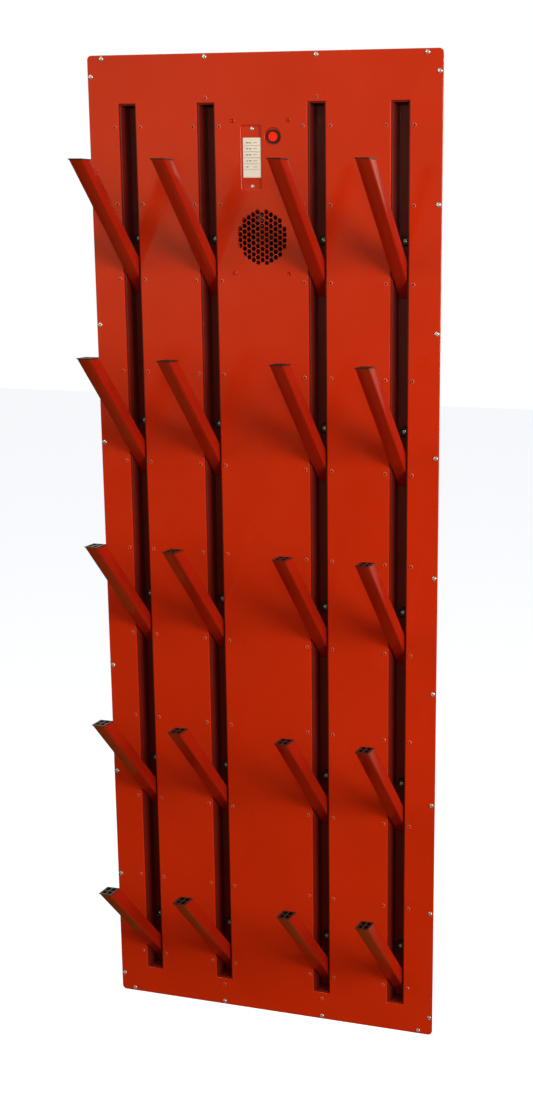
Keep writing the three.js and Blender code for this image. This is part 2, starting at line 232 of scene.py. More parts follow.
def new_finish(name, **shader_settings):
    """A material with one Principled shader; gives the material, its tree and the shader."""
    material = bpy.data.materials.new(name)
    material.use_nodes = True
    tree = material.node_tree
    shader = tree.nodes["Principled BSDF"]
    for key, value in shader_settings.items():
        shader.inputs[key.replace("_", " ")].default_value = value
    return material, tree, shader


# ---- finishes ---------------------------------------------------------------------------------
def powder_coat(name, colour, settings, duller=0.0):
    """Polyester powder coat, sprayed and baked on steel: an even semi-gloss skin with the fine
    ripple called orange peel, slightly duller where hands and boots have rubbed it."""
    material, tree, shader = new_finish(name, IOR=1.5, Coat_Weight=0.0)
    place = add_node(tree, "ShaderNodeTexCoord").outputs["Object"]
    cloud = add_node(tree, "ShaderNodeTexNoise", {"Vector": place}, Scale=1 / 0.22, Detail=3.0)
    base = linear(colour)
    worn = tuple(min(1.0, part * 1.12 + 0.004) for part in base[:3]) + (1.0,)
    shade = tuple(part * 0.9 for part in base[:3]) + (1.0,)
    mix = add_node(tree, "ShaderNodeMix", data_type="RGBA")
    mix.inputs["A"].default_value = shade
    mix.inputs["B"].default_value = worn
    tree.links.new(cloud.outputs["Fac"], mix.inputs["Factor"])
    tree.links.new(mix.outputs["Result"], shader.inputs["Base Color"])
    smear = add_node(tree, "ShaderNodeTexNoise", {"Vector": place}, Scale=1 / 0.05, Detail=4.0)
    middle = settings.coat_roughness + duller
    low, high = middle - 0.04, middle + 0.07
    rough = add_node(tree, "ShaderNodeMapRange", {"Value": smear.outputs["Fac"]}, From_Min=0.35,
                     From_Max=0.7, To_Min=low, To_Max=high)
    tree.links.new(rough.outputs["Result"], shader.inputs["Roughness"])
    peel = add_node(tree, "ShaderNodeTexNoise", {"Vector": place},
                    Scale=1 / settings.orange_peel, Detail=1.0, Roughness=0.4)
    edge = add_node(tree, "ShaderNodeBevel", samples=4, Radius=0.8 * MM)
    bump = add_node(tree, "ShaderNodeBump",
                    {"Height": peel.outputs["Fac"], "Normal": edge.outputs["Normal"]},
                    Strength=0.05, Distance=0.3 * MM)
    tree.links.new(bump.outputs["Normal"], shader.inputs["Normal"])
    return material


def moulded_plastic(name, colour, roughness, grain, relief=0.15, **more):
    """Injection-moulded ABS or nylon: a fine spark-eroded grain in the mould's face, width grain
    in metres, that breaks the highlight up."""
    material, tree, shader = new_finish(name, Base_Color=linear(colour), IOR=1.5, **more)
    place = add_node(tree, "ShaderNodeTexCoord").outputs["Object"]
    spots = add_node(tree, "ShaderNodeTexNoise", {"Vector": place}, Scale=1 / grain, Detail=2.0)
    rough = add_node(tree, "ShaderNodeMapRange", {"Value": spots.outputs["Fac"]},
                     To_Min=roughness - 0.06, To_Max=roughness + 0.08)
    tree.links.new(rough.outputs["Result"], shader.inputs["Roughness"])
    edge = add_node(tree, "ShaderNodeBevel", samples=4, Radius=0.4 * MM)
    bump = add_node(tree, "ShaderNodeBump",
                    {"Height": spots.outputs["Fac"], "Normal": edge.outputs["Normal"]},
                    Strength=relief, Distance=0.1 * MM)
    tree.links.new(bump.outputs["Normal"], shader.inputs["Normal"])
    return material


def nitrile_rubber():
    """Moulded nitrile rubber: near black, matt, with a dusty bloom on its raised parts."""
    material, tree, shader = new_finish("nitrile_rubber", IOR=1.52)
    place = add_node(tree, "ShaderNodeTexCoord").outputs["Object"]
    bloom = add_node(tree, "ShaderNodeTexNoise", {"Vector": place}, Scale=1 / 0.006, Detail=5.0)
    ramp = add_node(tree, "ShaderNodeValToRGB", {"Fac": bloom.outputs["Fac"]})
    ramp.color_ramp.elements[0].color = linear("#08080A")
    ramp.color_ramp.elements[1].color = linear("#242425")
    tree.links.new(ramp.outputs["Color"], shader.inputs["Base Color"])
    shader.inputs["Roughness"].default_value = 0.62
    return material


def bright_zinc():
    """Bright zinc-plated screw steel: a pale metal with a faint warm passivation tint."""
    material, tree, shader = new_finish("bright_zinc_plate", Metallic=0.8)
    place = add_node(tree, "ShaderNodeTexCoord").outputs["Object"]
    tint = add_node(tree, "ShaderNodeTexNoise", {"Vector": place}, Scale=1 / 0.004, Detail=2.0)
    ramp = add_node(tree, "ShaderNodeValToRGB", {"Fac": tint.outputs["Fac"]})
    ramp.color_ramp.elements[0].color = linear("#D9D6CC")
    ramp.color_ramp.elements[1].color = linear("#F3F1EA")
    tree.links.new(ramp.outputs["Color"], shader.inputs["Base Color"])
    rough = add_node(tree, "ShaderNodeMapRange", {"Value": tint.outputs["Fac"]}, To_Min=0.16,
                     To_Max=0.34)
    tree.links.new(rough.outputs["Result"], shader.inputs["Roughness"])
    return material


def nichrome_wire():
    """Drawn nickel-chromium wire, straw-coloured where it has been hot, pale where it hasn't."""
    material, tree, shader = new_finish("nichrome_wire", Metallic=1.0, Roughness=0.32)
    place = add_node(tree, "ShaderNodeTexCoord").outputs["Object"]
    heat = add_node(tree, "ShaderNodeTexNoise", {"Vector": place}, Scale=1 / 0.015, Detail=1.0)
    ramp = add_node(tree, "ShaderNodeValToRGB", {"Fac": heat.outputs["Fac"]})
    ramp.color_ramp.elements[0].color = linear("#D9A95E")
    ramp.color_ramp.elements[1].color = linear("#F4EBDD")
    tree.links.new(ramp.outputs["Color"], shader.inputs["Base Color"])
    return material


def galvanised_sheet():
    """Hot-dip galvanised sheet: dull grey metal broken into crystal spangle 8 to 15 mm wide."""
    material, tree, shader = new_finish("galvanised_sheet", Metallic=0.9)
    place = add_node(tree, "ShaderNodeTexCoord").outputs["Object"]
    spangle = add_node(tree, "ShaderNodeTexVoronoi", {"Vector": place}, Scale=1 / 0.012)
    ramp = add_node(tree, "ShaderNodeValToRGB", {"Fac": spangle.outputs["Color"]})
    ramp.color_ramp.elements[0].color = linear("#A2A7A9")
    ramp.color_ramp.elements[1].color = linear("#C2C6C7")
    tree.links.new(ramp.outputs["Color"], shader.inputs["Base Color"])
    rough = add_node(tree, "ShaderNodeMapRange", {"Value": spangle.outputs["Color"]},
                     To_Min=0.32, To_Max=0.52)
    tree.links.new(rough.outputs["Result"], shader.inputs["Roughness"])
    edge = add_node(tree, "ShaderNodeBevel", samples=4, Radius=0.8 * MM)
    tree.links.new(edge.outputs["Normal"], shader.inputs["Normal"])
    return material


def heater_ceramic():
    """Unglazed steatite: grey-brown, matt and slightly gritty."""
    material, tree, shader = new_finish("unglazed_ceramic", Roughness=0.85)
    place = add_node(tree, "ShaderNodeTexCoord").outputs["Object"]
    grit = add_node(tree, "ShaderNodeTexNoise", {"Vector": place}, Scale=1 / 0.002, Detail=6.0)
    ramp = add_node(tree, "ShaderNodeValToRGB", {"Fac": grit.outputs["Fac"]})
    ramp.color_ramp.elements[0].color = linear("#4A443E")
    ramp.color_ramp.elements[1].color = linear("#746C62")
    tree.links.new(ramp.outputs["Color"], shader.inputs["Base Color"])
    return material


def lit_lens():
    """Red polycarbonate rocker lens with a neon lamp behind it: glossy, glowing from inside."""
    material, tree, shader = new_finish(
        "lit_red_polycarbonate", Base_Color=linear("#E01208"), Roughness=0.12, IOR=1.58,
        Emission_Strength=0.4)
    place = add_node(tree, "ShaderNodeTexCoord").outputs["Object"]
    glow = add_node(tree, "ShaderNodeTexNoise", {"Vector": place}, Scale=1 / 0.009, Detail=1.0)
    ramp = add_node(tree, "ShaderNodeValToRGB", {"Fac": glow.outputs["Fac"]})
    ramp.color_ramp.elements[0].color = linear("#E00A05")
    ramp.color_ramp.elements[1].color = linear("#FF4A22")
    tree.links.new(ramp.outputs["Color"], shader.inputs["Emission Color"])
    return material


FINISH = {}


def make_finishes(settings):
    """Every finish, by the name the pieces ask for."""
    FINISH.update({
        "panel": powder_coat("red_powder_coat_sheet", settings.panel_red, settings),
        # The channel finish is the sheet's coat darkened as painted shade in the channels.
        "channel": powder_coat("red_powder_coat_channel", settings.channel_shade_red, settings, 0.25),
        # The tube finish is the sheet's coat darkened as painted shade.
        "peg": powder_coat("red_powder_coat_tube", settings.peg_shade_red, settings),
        "guard": moulded_plastic("black_dip_coat", "#0A0A0B", 0.8, 1 * MM,
                                 Specular_IOR_Level=0.15),
        # The screw head finish is the sheet's coat lightened as a painted highlight.
        "screw_red": powder_coat("red_powder_coat_screw_head", settings.screw_red, settings),
        "tip": moulded_plastic("grey_black_nylon", "#2C2A27", 0.3, 1.2 * MM, relief=0.3),
        "black": moulded_plastic("black_nylon", "#131415", 0.42, 1.2 * MM),
        "white": moulded_plastic("white_abs", "#FDF8E8", 0.3, 1.5 * MM, relief=0.05),
        # Near-black finish for the bottoms of coated screw sockets: painted shade in the socket.
        "socket": moulded_plastic("blackened_socket_steel", "#120505", 0.6, 1 * MM),
        "grey": moulded_plastic("grey_abs", "#A4A7A8", 0.45, 1.5 * MM),
        "ink": moulded_plastic("dark_pad_print", "#141211", 0.5, 1 * MM, relief=0.0),
        "amber": moulded_plastic("amber_window", "#D9A48C", 0.2, 1 * MM, relief=0.0),
        "rubber": nitrile_rubber(),
        "zinc": bright_zinc(),
        "nichrome": nichrome_wire(),
        "galvanised": galvanised_sheet(),
        "ceramic": heater_ceramic(),
        "lens": lit_lens(),
    })


CAD_FINISH = {
    "channel_": "channel", "control_plate": "panel", "rear_box": "galvanised",
    "terminal_box": "grey", "cable_gland": "black", "heater_core": "ceramic",
    "fan_frame": "black", "fan_rotor": "black", "timer_": "white", "switch_bezel": "black",
    "switch_rocker": "lens", "tip_grille_": "tip", "peg_tube_": "peg", "front_panel": "panel",
}


def finish_cad_nodes():
    """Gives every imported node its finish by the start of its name."""
    for name, node in frame["nodes"].items():
        key = next(start for start in CAD_FINISH if name.startswith(start))
        node.data.materials.clear()
        node.data.materials.append(FINISH[CAD_FINISH[key]])


# ---- sheets with rounded edges ----------------------------------------------------------------
def rounded_loop(x, z, width, height, corner, steps=6):
    """A rectangle with round corners, counter-clockwise, as an array of X and Z."""
    turn = np.linspace(0, math.pi / 2, steps)
    centres = [(1, -1, -math.pi / 2), (1, 1, 0), (-1, 1, math.pi / 2), (-1, -1, math.pi)]
    parts = [
        np.stack([x + sx * (width / 2 - corner) + corner * np.cos(turn + start),
                  z + sz * (height / 2 - corner) + corner * np.sin(turn + start)], -1)
        for sx, sz, start in centres]
    return np.concatenate(parts)


def ring_loop(x, z, radius, sides, turn=0.0):
    """A regular outline of so many sides, counter-clockwise."""
    angle = turn + np.arange(sides) * 2 * math.pi / sides
    return np.stack([x + radius * np.cos(angle), z + radius * np.sin(angle)], -1)


def left_normal(step):
    """The unit vectors a quarter turn to the left of each step."""
    length = np.maximum(np.linalg.norm(step, axis=1, keepdims=True), SHORTEST)
    return np.stack([-step[:, 1], step[:, 0]], -1) / length


def inset(loop, distance):
    """A loop moved inwards by distance, which may be negative: each corner moves along the sum
    of its two sides' normals, scaled so that both sides move by distance."""
    before, after = np.roll(loop, 1, 0), np.roll(loop, -1, 0)
    first, second = left_normal(loop - before), left_normal(after - loop)
    mitre = first + second
    scale = 2 / np.maximum((mitre ** 2).sum(1, keepdims=True), 0.5)
    return loop + mitre * scale * distance


def inside(points, loop):
    """Whether each point lies inside a closed outline: it does if a line to its right crosses
    the outline an odd number of times."""
    x, z = points[:, :1], points[:, 1:]
    ax, az = loop.T
    bx, bz = np.roll(loop, -1, 0).T
    spans = (az > z) != (bz > z)
    rise = np.where(bz == az, 1.0, bz - az)
    return (spans & (x < ax + (z - az) * (bx - ax) / rise)).sum(1) % 2 == 1


def rounded_sheet(name, outer, holes, front, back, edge, material):
    """A flat sheet between y = front and y = back. Each outline is carried through a quarter
    circle at the front edge, a quarter circle at the back and a straight wall between them, and
    the two faces are triangulated between the outlines and shaded flat."""
    turns = np.linspace(0, math.pi / 2, 4)
    inwards, deeper = edge * (1 - np.sin(turns)), edge * (1 - np.cos(turns))
    pull = np.concatenate([inwards, inwards[::-1]])
    depth = np.concatenate([front + deeper, (back - deeper)[::-1]])
    vertices, faces, front_loops, back_loops = [], [], [], []
    start = 0
    for loop, sign in [(outer, 1.0)] + [(hole, -1.0) for hole in holes]:
        count = len(loop)
        rings = [np.insert(inset(loop, sign * pull[k]), 1, depth[k], axis=1)
                 for k in range(len(pull))]
        vertices.append(np.concatenate(rings))
        strip = grid_faces(len(pull), count) + start
        faces.extend((strip[:, ::-1] if sign > 0 else strip).tolist())
        front_loops.append(np.arange(count) + start)
        back_loops.append(np.arange(count) + start + (len(pull) - 1) * count)
        start += len(pull) * count
    vertices = np.concatenate(vertices)
    rounded = len(faces)
    for loops, flip in ((front_loops, False), (back_loops, True)):
        index = np.concatenate(loops)
        flat = vertices[index][:, [0, 2]]
        ends = np.cumsum([len(one) for one in loops])
        rims = [list(range(end - len(one), end)) for one, end in zip(loops, ends)]
        made = delaunay_2d_cdt([Vector(point) for point in flat], [], rims, 1, WELD, True)
        source = np.array([origin[0] for origin in made[3]])
        triangles = source[np.array(made[2])]
        middle = flat[triangles].mean(1)
        kept = inside(middle, flat[rims[0]])
        for rim in rims[1:]:
            kept &= ~inside(middle, flat[rim])
        corners = index[triangles[kept]]
        faces.extend((corners[:, ::-1] if flip else corners).tolist())
    piece = put_mesh(name, vertices, faces, material, sharp=40)
    piece.data.polygons.foreach_set("use_smooth", np.arange(len(faces)) < rounded)
    return piece


def hexagon_places(centre_x, centre_z, pitch, counts):
    """Centres of the grille's hexagons: columns either side of the middle one."""
    step = pitch * math.sqrt(3) / 2
    columns = [(side * k * step, count) for k, count in enumerate(counts)
               for side in ((1,) if k == 0 else (-1, 1))]
    return [(centre_x + x, centre_z + (i - (count - 1) / 2) * pitch)
            for x, count in columns for i in range(count)]


class BOOT_DRYER_OT_sheets(bpy.types.Operator):
    """Front sheet with softly rounded, coated edges"""

    bl_idname = "boot_dryer.sheets"
    bl_label = "Sheets"

    corner = 8 * MM
    slot_width, slot_corner = 34 * MM, 1.5 * MM
    slot_span = (56 * MM, 1718 * MM)
    recess_x, recess_size, recess_corner = -18.3 * MM, (38 * MM, 108 * MM), 3 * MM
    switch_radius = 15 * MM
    hexagon_flats, hexagon_pitch = 7.8 * MM, 9.7 * MM
    hexagon_counts = (9, 10, 9, 8, 7, 4)

    def execute(self, context):
        shape = context.scene.dryer_shape
        low, high = sheet_low, sheet_high
        width, height = high.x - low.x, high.z - low.z
        outer = rounded_loop(0, (low.z + high.z) / 2, width, height, self.corner)
        slot_low, slot_high = (low.z + reach for reach in self.slot_span)
        slots = [rounded_loop(x, (slot_low + slot_high) / 2, self.slot_width,
                              slot_high - slot_low, self.slot_corner, 3) for x in SLOT_X]
        timer, bezel, fan = map(box_middle, ("timer_body", "switch_bezel", "fan_frame"))
        recess = rounded_loop(self.recess_x, timer.z, *self.recess_size, self.recess_corner)
        well = ring_loop(bezel.x, bezel.z, self.switch_radius, 40)
        centres = hexagon_places(0, fan.z, self.hexagon_pitch, self.hexagon_counts)
        hexagons = [ring_loop(x, z, self.hexagon_flats / math.sqrt(3), 6) for x, z in centres]
        holes = [*slots, recess, well, *hexagons]
        panel = rounded_sheet("front_sheet", outer, holes, low.y, high.y, shape.edge_round,
                              FINISH["panel"])
        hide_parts("front_panel")
        return {"FINISHED"}


# ---- pegs -------------------------------------------------------------------------------------
TUBE_SIDE = 25 * MM
FOOT_LONG, FOOT_SHORT = 43 * MM, 25.5 * MM  # from the pivot down to the slanted foot's two edges
TIP_GAP = 2.3 * MM  # the tip grille's rim stands this far above the tube's end
PIN_REACH, PIN_RADIUS, PIN_CHAMFER = 16 * MM, 3 * MM, 0.5 * MM


def rounded_square(half, corner, steps=5):
    """The outline of a square with round corners about the origin."""
    return rounded_loop(0, 0, 2 * half, 2 * half, corner, steps)


def peg_surface(pivot, tip_level, shape):
    """A square tube along the peg's direction. Across, the section is a rounded square, outside
    and inside; along, each corner line runs from the slanted foot to the level tip. The grid
    closes on itself both ways, so the wall is one closed skin."""
    half = TUBE_SIDE / 2
    across = rounded_square(half, shape.tube_corner)
    within = rounded_square(half - shape.tube_wall,
                            max(shape.tube_corner - shape.tube_wall, 0.1 * MM))
    lip = 0.35 * MM

    def place(section, along):
        x, depth = section[:, 0], section[:, 1]
        y = depth * math.cos(PEG_OUT) - along * math.sin(PEG_OUT)
        z = depth * math.sin(PEG_OUT) + along * math.cos(PEG_OUT)
        return np.stack([pivot[0] + x, pivot[1] + y, pivot[2] + z], -1)

    def tip(section, back):
        rise = tip_level - pivot[2] - section[:, 1] * math.sin(PEG_OUT)
        return rise / math.cos(PEG_OUT) - back

    def foot(section, back):
        slope = (FOOT_LONG - FOOT_SHORT) / TUBE_SIDE
        return -(FOOT_LONG + FOOT_SHORT) / 2 + section[:, 1] * slope + back

    narrow = 1 - lip / half
    wide = 1 + lip / half
    rings = [
        place(across, foot(across, lip)), place(across, tip(across, lip)),
        place(across * narrow, tip(across, 0)), place(within * wide, tip(within, 0)),
        place(within, tip(within, lip)), place(within, foot(within, lip)),
        place(within * wide, foot(within, 0)), place(across * narrow, foot(across, 0)),
    ]
    vertices = np.concatenate(rings)
    return vertices, grid_faces(len(rings), len(across), wrap_rows=True).tolist()


def pin_surface(pivot):
    """A hinge pin along X: a turned form of one radius with a small chamfer at each end."""
    end, shoulder = PIN_RADIUS - PIN_CHAMFER, PIN_REACH - PIN_CHAMFER
    radii = [end, PIN_RADIUS, PIN_RADIUS, end]
    heights = [-PIN_REACH, -shoulder, shoulder, PIN_REACH]
    vertices, faces = turned(radii, heights, 20)
    x, y, z = vertices.T
    return np.stack([z, y, -x], -1) + np.array(pivot), faces


class BOOT_DRYER_OT_pegs(bpy.types.Operator):
    """Twenty square tubes with round corners, each with its hinge pin"""

    bl_idname = "boot_dryer.pegs"
    bl_label = "Pegs"

    def execute(self, context):
        shape = context.scene.dryer_shape
        for joint in PEGS:
            label = joint["name"].removeprefix("peg_fold_")
            tip_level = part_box(f"tip_grille_{label}")[1].z
            vertices, faces = peg_surface(joint["pos_m"], tip_level - TIP_GAP, shape)
            tube = put_mesh(f"tube_{label}", vertices, faces, FINISH["peg"], joint["child"],
                            sharp=35)
            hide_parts(f"peg_tube_{label}")
            vertices, faces = pin_surface(joint["pos_m"])
            put_mesh(f"hinge_pin_{label}", vertices, faces, FINISH["zinc"], joint["child"],
                     sharp=30)
        return {"FINISHED"}


# ---- bumpers and screws -----------------------------------------------------------------------
CHANNEL_SHEET = 1.5 * MM
BUMPER_RISE = 59 * MM  # a bumper's middle above its peg's pivot


def cross_mask(x, z, length, width):
    """1 inside a cross of two crossed bars, 0 outside, with a soft edge."""
    def soft(reach, size, blur):
        return np.clip((size / 2 - abs(reach)) / (blur * size) + 0.5, 0, 1)

    def bar(u, v):
        return soft(u, length, 0.12) * soft(v, width, 0.35)

    return np.maximum(bar(x, z), bar(z, x))


def hexagon_mask(x, z, flats):
    """1 inside a hexagon, 0 outside, with a soft edge: the reach is the greatest of the point's
    distances along the normals of the three pairs of flats."""
    turns = np.radians([0, 60, 120])[:, None]
    reach = abs(x * np.cos(turns) + z * np.sin(turns)).max(0)
    return np.clip((flats / 2 - reach) / (0.12 * flats) + 0.5, 0, 1)


def screw_head(radius, height, drive, sides=32, rings=14):
    """A domed head: its height falls off with the square of the radius, and the drive's mask
    sinks it; a short skirt closes it underneath."""
    reach = np.linspace(0.06, 1, rings) * radius
    angle = np.arange(sides) * 2 * math.pi / sides
    heights = []
    for r in reach:
        dome = height * (1 - 0.55 * (r / radius) ** 2) if r < radius else 0.3 * height
        x, z = r * np.cos(angle), r * np.sin(angle)
        if drive == "cross":
            sunk = 0.8 * height * cross_mask(x, z, 1.15 * radius, 0.3 * radius)
        else:
            sunk = 0.9 * height * hexagon_mask(x, z, 0.95 * radius)
        heights.append(dome - sunk)
    radii = [*reach, radius, 0.5 * radius]
    heights = [*heights, np.zeros(sides), np.zeros(sides)]
    vertices, faces = turned(radii, heights, sides)
    return vertices, [face[::-1] for face in faces]


class BOOT_DRYER_OT_screws(bpy.types.Operator):
    """Border, slot, module and timer screws"""

    bl_idname = "boot_dryer.screws"
    bl_label = "Screws"

    # border screws: distance in from the edge, then the side screws' first height and pitch
    edge_inset, side_first, side_pitch, side_count = 6 * MM, 36, 216, 9
    corner_x = 302 * MM
    # slot screws: three close together under the top of a slot, then one each half peg pitch
    slot_inset, slot_first, slot_close, slot_pitch = 25 * MM, 1678 * MM, 131.5 * MM, 165.5 * MM
    slot_ends = (1726, 43)
    module_inset = 7 * MM
    timer_reach = 48.4 * MM

    def place(self, name, form, places, finish, front):
        """The same head at each X and Z on a face at Y = front. A coated head with a socket
        has painted shade, a near-black finish, at its bottom: the faces whose corners are all
        sunk."""
        vertices, faces = form
        height = vertices[:, 2]
        sunk = [max(height[list(face)]) < 0.3 * height.max()
                and np.hypot(*vertices[list(face)][:, :2].T).max() < 0.6 * vertices.max()
                for face in faces]
        spots = [(x, front, z) for x, z in places]
        vertices, all_faces = copies(facing_out(vertices), faces, spots)
        heads = put_mesh(name, vertices, all_faces, FINISH[finish], sharp=40)
        # A coated head's lighter red is a painted highlight; its socket bottom takes painted
        # shade.
        if finish == "screw_red":
            heads.data.materials.append(FINISH["socket"])
            heads.data.polygons.foreach_set("material_index",
                                            np.tile(sunk, len(spots)).astype(np.int32))
        return heads

    def execute(self, context):
        front, bottom, top = sheet_low.y, sheet_low.z, sheet_high.z
        edge = sheet_high.x - self.edge_inset
        sides = [(sign * edge, bottom + (self.side_first + self.side_pitch * i) * MM)
                 for sign in (-1, 1) for i in range(self.side_count)]
        ends = [(x, z) for x in (-self.corner_x, SLOT_X[1], SLOT_X[2], self.corner_x)
                for z in (bottom + self.edge_inset, top - self.edge_inset)]
        self.place("border_screws", screw_head(4.2 * MM, 2.2 * MM, "cross"), sides + ends,
                   "zinc", front)
        heights = [bottom + self.slot_first - self.slot_close * i for i in range(3)]
        heights += [heights[-1] - self.slot_pitch * i for i in range(1, 9)]
        pairs = [(x + sign * self.slot_inset, z) for x in SLOT_X for sign in (-1, 1)
                 for z in heights]
        caps = [(x, bottom + z * MM) for x in SLOT_X[1:3] for z in self.slot_ends]
        self.place("slot_screws", screw_head(3.8 * MM, 1.9 * MM, "hexagon"), pairs + caps,
                   "screw_red", front)
        plate_low, plate_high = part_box("control_plate")
        inset = self.module_inset
        module = [(x, z) for x in (plate_low.x + inset, plate_high.x - inset)
                  for z in (plate_low.z + inset, plate_high.z - inset)]
        self.place("module_screws", screw_head(3.8 * MM, 2.6 * MM, "hexagon"), module, "panel",
                   front)
        timer = box_middle("timer_body")
        spots = [(timer.x, timer.z + sign * self.timer_reach) for sign in (-1, 1)]
        self.place("timer_screws", screw_head(3.4 * MM, 1.8 * MM, "cross"), spots, "zinc",
                   plate_low.y)
        return {"FINISHED"}


class BOOT_DRYER_OT_bumpers(bpy.types.Operator):
    """Rubber bumpers on the channel floors that the folded pegs rest on, with their screws"""

    bl_idname = "boot_dryer.bumpers"
    bl_label = "Bumpers"

    def execute(self, context):
        shape = context.scene.dryer_shape
        floor_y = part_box("channel_1")[1].y - CHANNEL_SHEET
        radius, height = shape.bumper_radius, shape.bumper_height
        well, sunk = 0.5 * radius, 4 * MM
        turn = np.linspace(0, math.pi / 2, 5)
        rim = 1.4 * MM
        radii = [0.4 * radius, radius, *(0.9 * radius - rim + rim * np.cos(turn)),
                 well + 0.5 * MM, well, well]
        heights = [0, 0, *(height - rim + rim * np.sin(turn)), height, height - 0.5 * MM,
                   height - sunk]
        vertices, faces = turned(radii, heights, 32)
        places = [(x, floor_y, z + BUMPER_RISE) for x in SLOT_X for z in PIVOT_Z]
        vertices, faces = copies(facing_out(vertices), faces, places)
        put_mesh("bumpers", vertices, faces, FINISH["rubber"], sharp=50)
        head, head_faces = screw_head(0.46 * radius, 2 * MM, "cross", 24, 10)
        spots = [(x, floor_y - height + sunk, z) for x, _, z in places]
        vertices, faces = copies(facing_out(head), head_faces, spots)
        put_mesh("bumper_screws", vertices, faces, FINISH["zinc"], sharp=40)
        return {"FINISHED"}


# ---- controls and fan -------------------------------------------------------------------------
class BOOT_DRYER_OT_controls(bpy.types.Operator):
    """Minute marks and small windows on the timer's buttons"""

    bl_idname = "boot_dryer.controls"
    bl_label = "Controls"

    minutes = ("60 min", "45 min", "30 min", "15 min", "off")
    mark_size, mark_indent = 3.6 * MM, 3 * MM
    window_indent, window_size, window_corner = 7 * MM, (8.5 * MM, 1.4 * MM), 0.65 * MM

    def execute(self, context):
        for number, text in enumerate(self.minutes, 1):
            body = f"button_{number}"
            low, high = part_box(f"timer_button_{number}")
            level = (low.z + high.z) / 2
            curve = bpy.data.curves.new(f"minutes_{number}", "FONT")
            curve.body = text
            curve.size = self.mark_size
            curve.offset = 0.1 * MM
            curve.extrude = 0.08 * MM
            curve.resolution_u = 3
            curve.align_y = "CENTER"
            label = bpy.data.objects.new(f"minutes_{number}", curve)
            context.scene.collection.objects.link(label)
            context.view_layer.update()
            mesh = bpy.data.meshes.new_from_object(label)
            bpy.data.objects.remove(label)
            form = bmesh.new()
            form.from_mesh(mesh)
            bmesh.ops.remove_doubles(form, verts=form.verts, dist=0.005 * MM)
            form.to_mesh(mesh)
            form.free()
            local = np.zeros(len(mesh.vertices) * 3)
            mesh.vertices.foreach_get("co", local)
            x, y, z = local.reshape(-1, 3).T
            placed = np.stack([low.x + self.mark_indent + x, low.y - z, level + y], -1)
            mesh.vertices.foreach_set("co", placed.ravel())
            mesh.materials.clear()
            mesh.materials.append(FINISH["ink"])
            piece = bpy.data.objects.new(f"minute_mark_{number}", mesh)
            context.scene.collection.objects.link(piece)
            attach(piece, body)
            bar = rounded_loop(high.x - self.window_indent, level, *self.window_size,
                               self.window_corner, 4)
            window = rounded_sheet(f"lamp_window_{number}", bar, [], low.y - 0.2 * MM,
                                   low.y + 0.2 * MM, 0.08 * MM, FINISH["amber"])
            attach(window, body)
        return {"FINISHED"}


class BOOT_DRYER_OT_fan_guard(bpy.types.Operator):
    """Wire finger guard between the grille and the fan, and a bright coil of heating wire"""

    bl_idname = "boot_dryer.fan_guard"
    bl_label = "Fan guard"

    guard_radii, guard_wire, guard_gap = (9, 18, 27, 36, 44), 0.75 * MM, 1.1 * MM
    arc_radius, coil_radius, coil_wire, coil_turns = 27 * MM, 1.3 * MM, 0.6 * MM, 12
    arc_start, arc_length = math.radians(30), math.radians(85)
    coil_depth = 1.75 * MM

    def execute(self, context):
        low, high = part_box("fan_frame")
        centre = (low + high) / 2
        wire, steps, sides = self.guard_wire, 64, 8
        turn = np.arange(sides) * 2 * math.pi / sides
        around = np.arange(steps) * 2 * math.pi / steps
        depth = low.y - self.guard_gap + wire * np.sin(turn)[None, :]
        vertices, faces, start = [], [], 0
        for radius in np.array(self.guard_radii) * MM:
            reach = radius + wire * np.cos(turn)[None, :]
            ring = np.stack([centre.x + reach * np.cos(around)[:, None],
                             np.broadcast_to(depth, (steps, sides)),
                             centre.z + reach * np.sin(around)[:, None]], -1)
            vertices.append(ring.reshape(-1, 3))
            faces += (grid_faces(steps, sides, wrap_rows=True) + start).tolist()
            start += steps * sides
        guard = put_mesh("fan_guard", np.concatenate(vertices), faces, FINISH["guard"])
        vertices, faces = self.coil((centre.x, low.y + self.coil_depth, centre.z))
        put_mesh("heating_coil", vertices, faces, FINISH["nichrome"])
        return {"FINISHED"}

    def coil(self, centre):
        """A wire wound in a helix about an arc of a circle: the arc's angle runs with the path,
        and the helix adds its radius outwards and along Y, many turns for each step of the arc."""
        path = np.linspace(0, 1, self.coil_turns * 12)
        arc = self.arc_start + path * self.arc_length
        wind = path * self.coil_turns * 2 * math.pi
        sides = 6
        around = np.arange(sides) * 2 * math.pi / sides
        spread = (self.coil_radius * np.cos(wind))[:, None] + self.coil_wire * np.cos(around)
        depth = (self.coil_radius * np.sin(wind))[:, None] + self.coil_wire * np.sin(around)
        reach = self.arc_radius + spread
        points = np.stack([centre[0] + reach * np.cos(arc)[:, None], centre[1] + depth,
                           centre[2] + reach * np.sin(arc)[:, None]], -1)
        end = (len(path) - 1) * sides
        caps = [list(range(sides))[::-1], list(range(end, end + sides))]
        return points.reshape(-1, 3), [*grid_faces(len(path), sides).tolist(), *caps]


